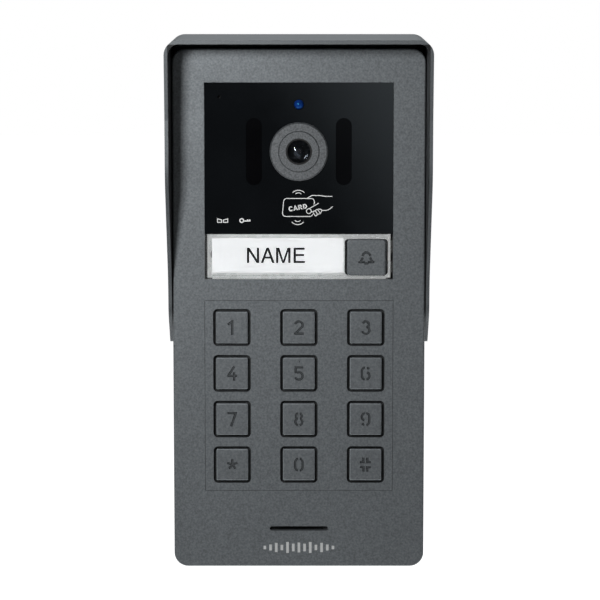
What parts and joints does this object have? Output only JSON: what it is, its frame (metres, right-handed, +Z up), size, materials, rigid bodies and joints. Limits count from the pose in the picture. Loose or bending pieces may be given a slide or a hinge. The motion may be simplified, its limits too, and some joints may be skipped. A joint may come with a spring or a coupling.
{
  "type": "door intercom panel",
  "caption": "Surface-mounted video door intercom panel with a rain hood, tilting camera, name plate, call button and numeric keypad.",
  "frame": {"origin": "centre of the wall face: the back of the hood's plate, at half the casing's height", "axes": "+Z up, +Y into the wall, the front faces -Y, +X to the right seen from the front"},
  "size_m": [0.0932, 0.044, 0.1916],
  "materials": {
    "powder_coat": "fine textured powder coat, matte",
    "hood_coat": "fine textured powder coat, matte",
    "key_coat": "smooth satin powder coat",
    "zinc_steel": "zinc plated",
    "black_abs": "moulded, matte",
    "camera_plastic": "moulded, matte",
    "camera_coat": "fine spark texture",
    "barrel_black": "matte",
    "lens_glass": "coated, polished",
    "black_acrylic": "polished, printed black behind",
    "ir_acrylic": "satin, infrared-passing",
    "clear_polycarbonate": "clear, polished",
    "label_card": "white card",
    "milky_acrylic": "milky, satin",
    "board_green": "solder mask",
    "board_white": "white solder mask",
    "black_rubber": "moulded",
    "dark_silicone": "moulded silicone",
    "felt_black": "felt over a drawn can",
    "copper_track": "gold flashed copper",
    "ir_lamp": "smoky epoxy",
    "blue_lamp": "tinted epoxy",
    "white_lamp": "phosphor and epoxy",
    "chip_black": "moulded epoxy",
    "terminal_green": "moulded",
    "terminal_brass": "nickel plated",
    "speaker_black": "film cone in a black frame",
    "relay_blue": "moulded",
    "plunger_red": "moulded"
  },
  "bodies": {
    "panel": {"front_casing": "powder_coat", "keypad_plate": "powder_coat", "rain_hood": "hood_coat", "wall_bracket": "zinc_steel", "lock_screw": "zinc_steel", "housing_screws": "zinc_steel", "board_screws": "zinc_steel", "rear_housing": "black_abs", "camera_bracket": "camera_plastic", "camera_ring": "camera_coat", "camera_window": "black_acrylic", "ir_window_left": "ir_acrylic", "ir_window_right": "ir_acrylic", "nameplate_cover": "clear_polycarbonate", "name_label": "label_card", "nameplate_diffuser": "milky_acrylic", "main_board": "board_green", "ir_board": "board_green", "keypad_board": "board_green", "nameplate_board": "board_white", "cable_grommet": "black_rubber", "housing_seal": "black_rubber", "speaker_seal": "black_rubber", "microphone": "felt_black", "keypad_mat": "dark_silicone", "rfid_coil": "copper_track", "key_contacts": "copper_track", "ir_leds": "ir_lamp", "status_led": "blue_lamp", "nameplate_leds": "white_lamp", "board_components": "chip_black", "call_switch": "chip_black", "tamper_switch": "chip_black", "terminal_block": "terminal_green", "terminal_screws": "terminal_brass", "speaker": "speaker_black", "door_relay": "relay_blue", "volume_trimmer": "relay_blue"},
    "camera_cradle": {"camera_cradle": "camera_plastic"},
    "camera_head": {"camera_ball": "camera_coat", "lens_barrel": "barrel_black", "lens_front_glass": "lens_glass", "lens_inner_glass": "lens_glass", "sensor_board": "board_green", "image_sensor": "chip_black"},
    "call_button": {"call_button": "key_coat"},
    "tamper_plunger": {"tamper_plunger": "plunger_red"},
    "trimmer_rotor": {"trimmer_rotor": "plunger_red"},
    "key_1": {"key_1": "key_coat"},
    "key_2": {"key_2": "key_coat"},
    "key_3": {"key_3": "key_coat"},
    "key_4": {"key_4": "key_coat"},
    "key_5": {"key_5": "key_coat"},
    "key_6": {"key_6": "key_coat"},
    "key_7": {"key_7": "key_coat"},
    "key_8": {"key_8": "key_coat"},
    "key_9": {"key_9": "key_coat"},
    "key_star": {"key_star": "key_coat"},
    "key_0": {"key_0": "key_coat"},
    "key_hash": {"key_hash": "key_coat"}
  },
  "joints": [
    {"name": "camera_pan", "type": "hinge", "parent": "panel", "child": "camera_cradle", "pos_m": [0, -0.0178, 0.0567], "axis": [0, 0, 1], "range_deg": [-10, 10]},
    {"name": "camera_tilt", "type": "hinge", "parent": "camera_cradle", "child": "camera_head", "pos_m": [0, -0.0178, 0.0567], "axis": [1, 0, 0], "range_deg": [-10, 10]},
    {"name": "call_button_press", "type": "slide", "parent": "panel", "child": "call_button", "axis": [0, 1, 0], "range_m": [0, 0.0008], "stiffness_N_per_m": 500, "springref_m": -0.002},
    {"name": "tamper_plunger_press", "type": "slide", "parent": "panel", "child": "tamper_plunger", "axis": [0, -1, 0], "range_m": [0, 0.0006], "stiffness_N_per_m": 500, "springref_m": -0.002},
    {"name": "trimmer_turn", "type": "hinge", "parent": "panel", "child": "trimmer_rotor", "pos_m": [0.026, -0.0099, -0.036], "axis": [0, 1, 0], "range_deg": [-135, 135]},
    {"name": "key_1_press", "type": "slide", "parent": "panel", "child": "key_1", "axis": [0, 1, 0], "range_m": [0, 0.0008], "stiffness_N_per_m": 500, "springref_m": -0.002},
    {"name": "key_2_press", "type": "slide", "parent": "panel", "child": "key_2", "axis": [0, 1, 0], "range_m": [0, 0.0008], "stiffness_N_per_m": 500, "springref_m": -0.002},
    {"name": "key_3_press", "type": "slide", "parent": "panel", "child": "key_3", "axis": [0, 1, 0], "range_m": [0, 0.0008], "stiffness_N_per_m": 500, "springref_m": -0.002},
    {"name": "key_4_press", "type": "slide", "parent": "panel", "child": "key_4", "axis": [0, 1, 0], "range_m": [0, 0.0008], "stiffness_N_per_m": 500, "springref_m": -0.002},
    {"name": "key_5_press", "type": "slide", "parent": "panel", "child": "key_5", "axis": [0, 1, 0], "range_m": [0, 0.0008], "stiffness_N_per_m": 500, "springref_m": -0.002},
    {"name": "key_6_press", "type": "slide", "parent": "panel", "child": "key_6", "axis": [0, 1, 0], "range_m": [0, 0.0008], "stiffness_N_per_m": 500, "springref_m": -0.002},
    {"name": "key_7_press", "type": "slide", "parent": "panel", "child": "key_7", "axis": [0, 1, 0], "range_m": [0, 0.0008], "stiffness_N_per_m": 500, "springref_m": -0.002},
    {"name": "key_8_press", "type": "slide", "parent": "panel", "child": "key_8", "axis": [0, 1, 0], "range_m": [0, 0.0008], "stiffness_N_per_m": 500, "springref_m": -0.002},
    {"name": "key_9_press", "type": "slide", "parent": "panel", "child": "key_9", "axis": [0, 1, 0], "range_m": [0, 0.0008], "stiffness_N_per_m": 500, "springref_m": -0.002},
    {"name": "key_star_press", "type": "slide", "parent": "panel", "child": "key_star", "axis": [0, 1, 0], "range_m": [0, 0.0008], "stiffness_N_per_m": 500, "springref_m": -0.002},
    {"name": "key_0_press", "type": "slide", "parent": "panel", "child": "key_0", "axis": [0, 1, 0], "range_m": [0, 0.0008], "stiffness_N_per_m": 500, "springref_m": -0.002},
    {"name": "key_hash_press", "type": "slide", "parent": "panel", "child": "key_hash", "axis": [0, 1, 0], "range_m": [0, 0.0008], "stiffness_N_per_m": 500, "springref_m": -0.002}
  ]
}
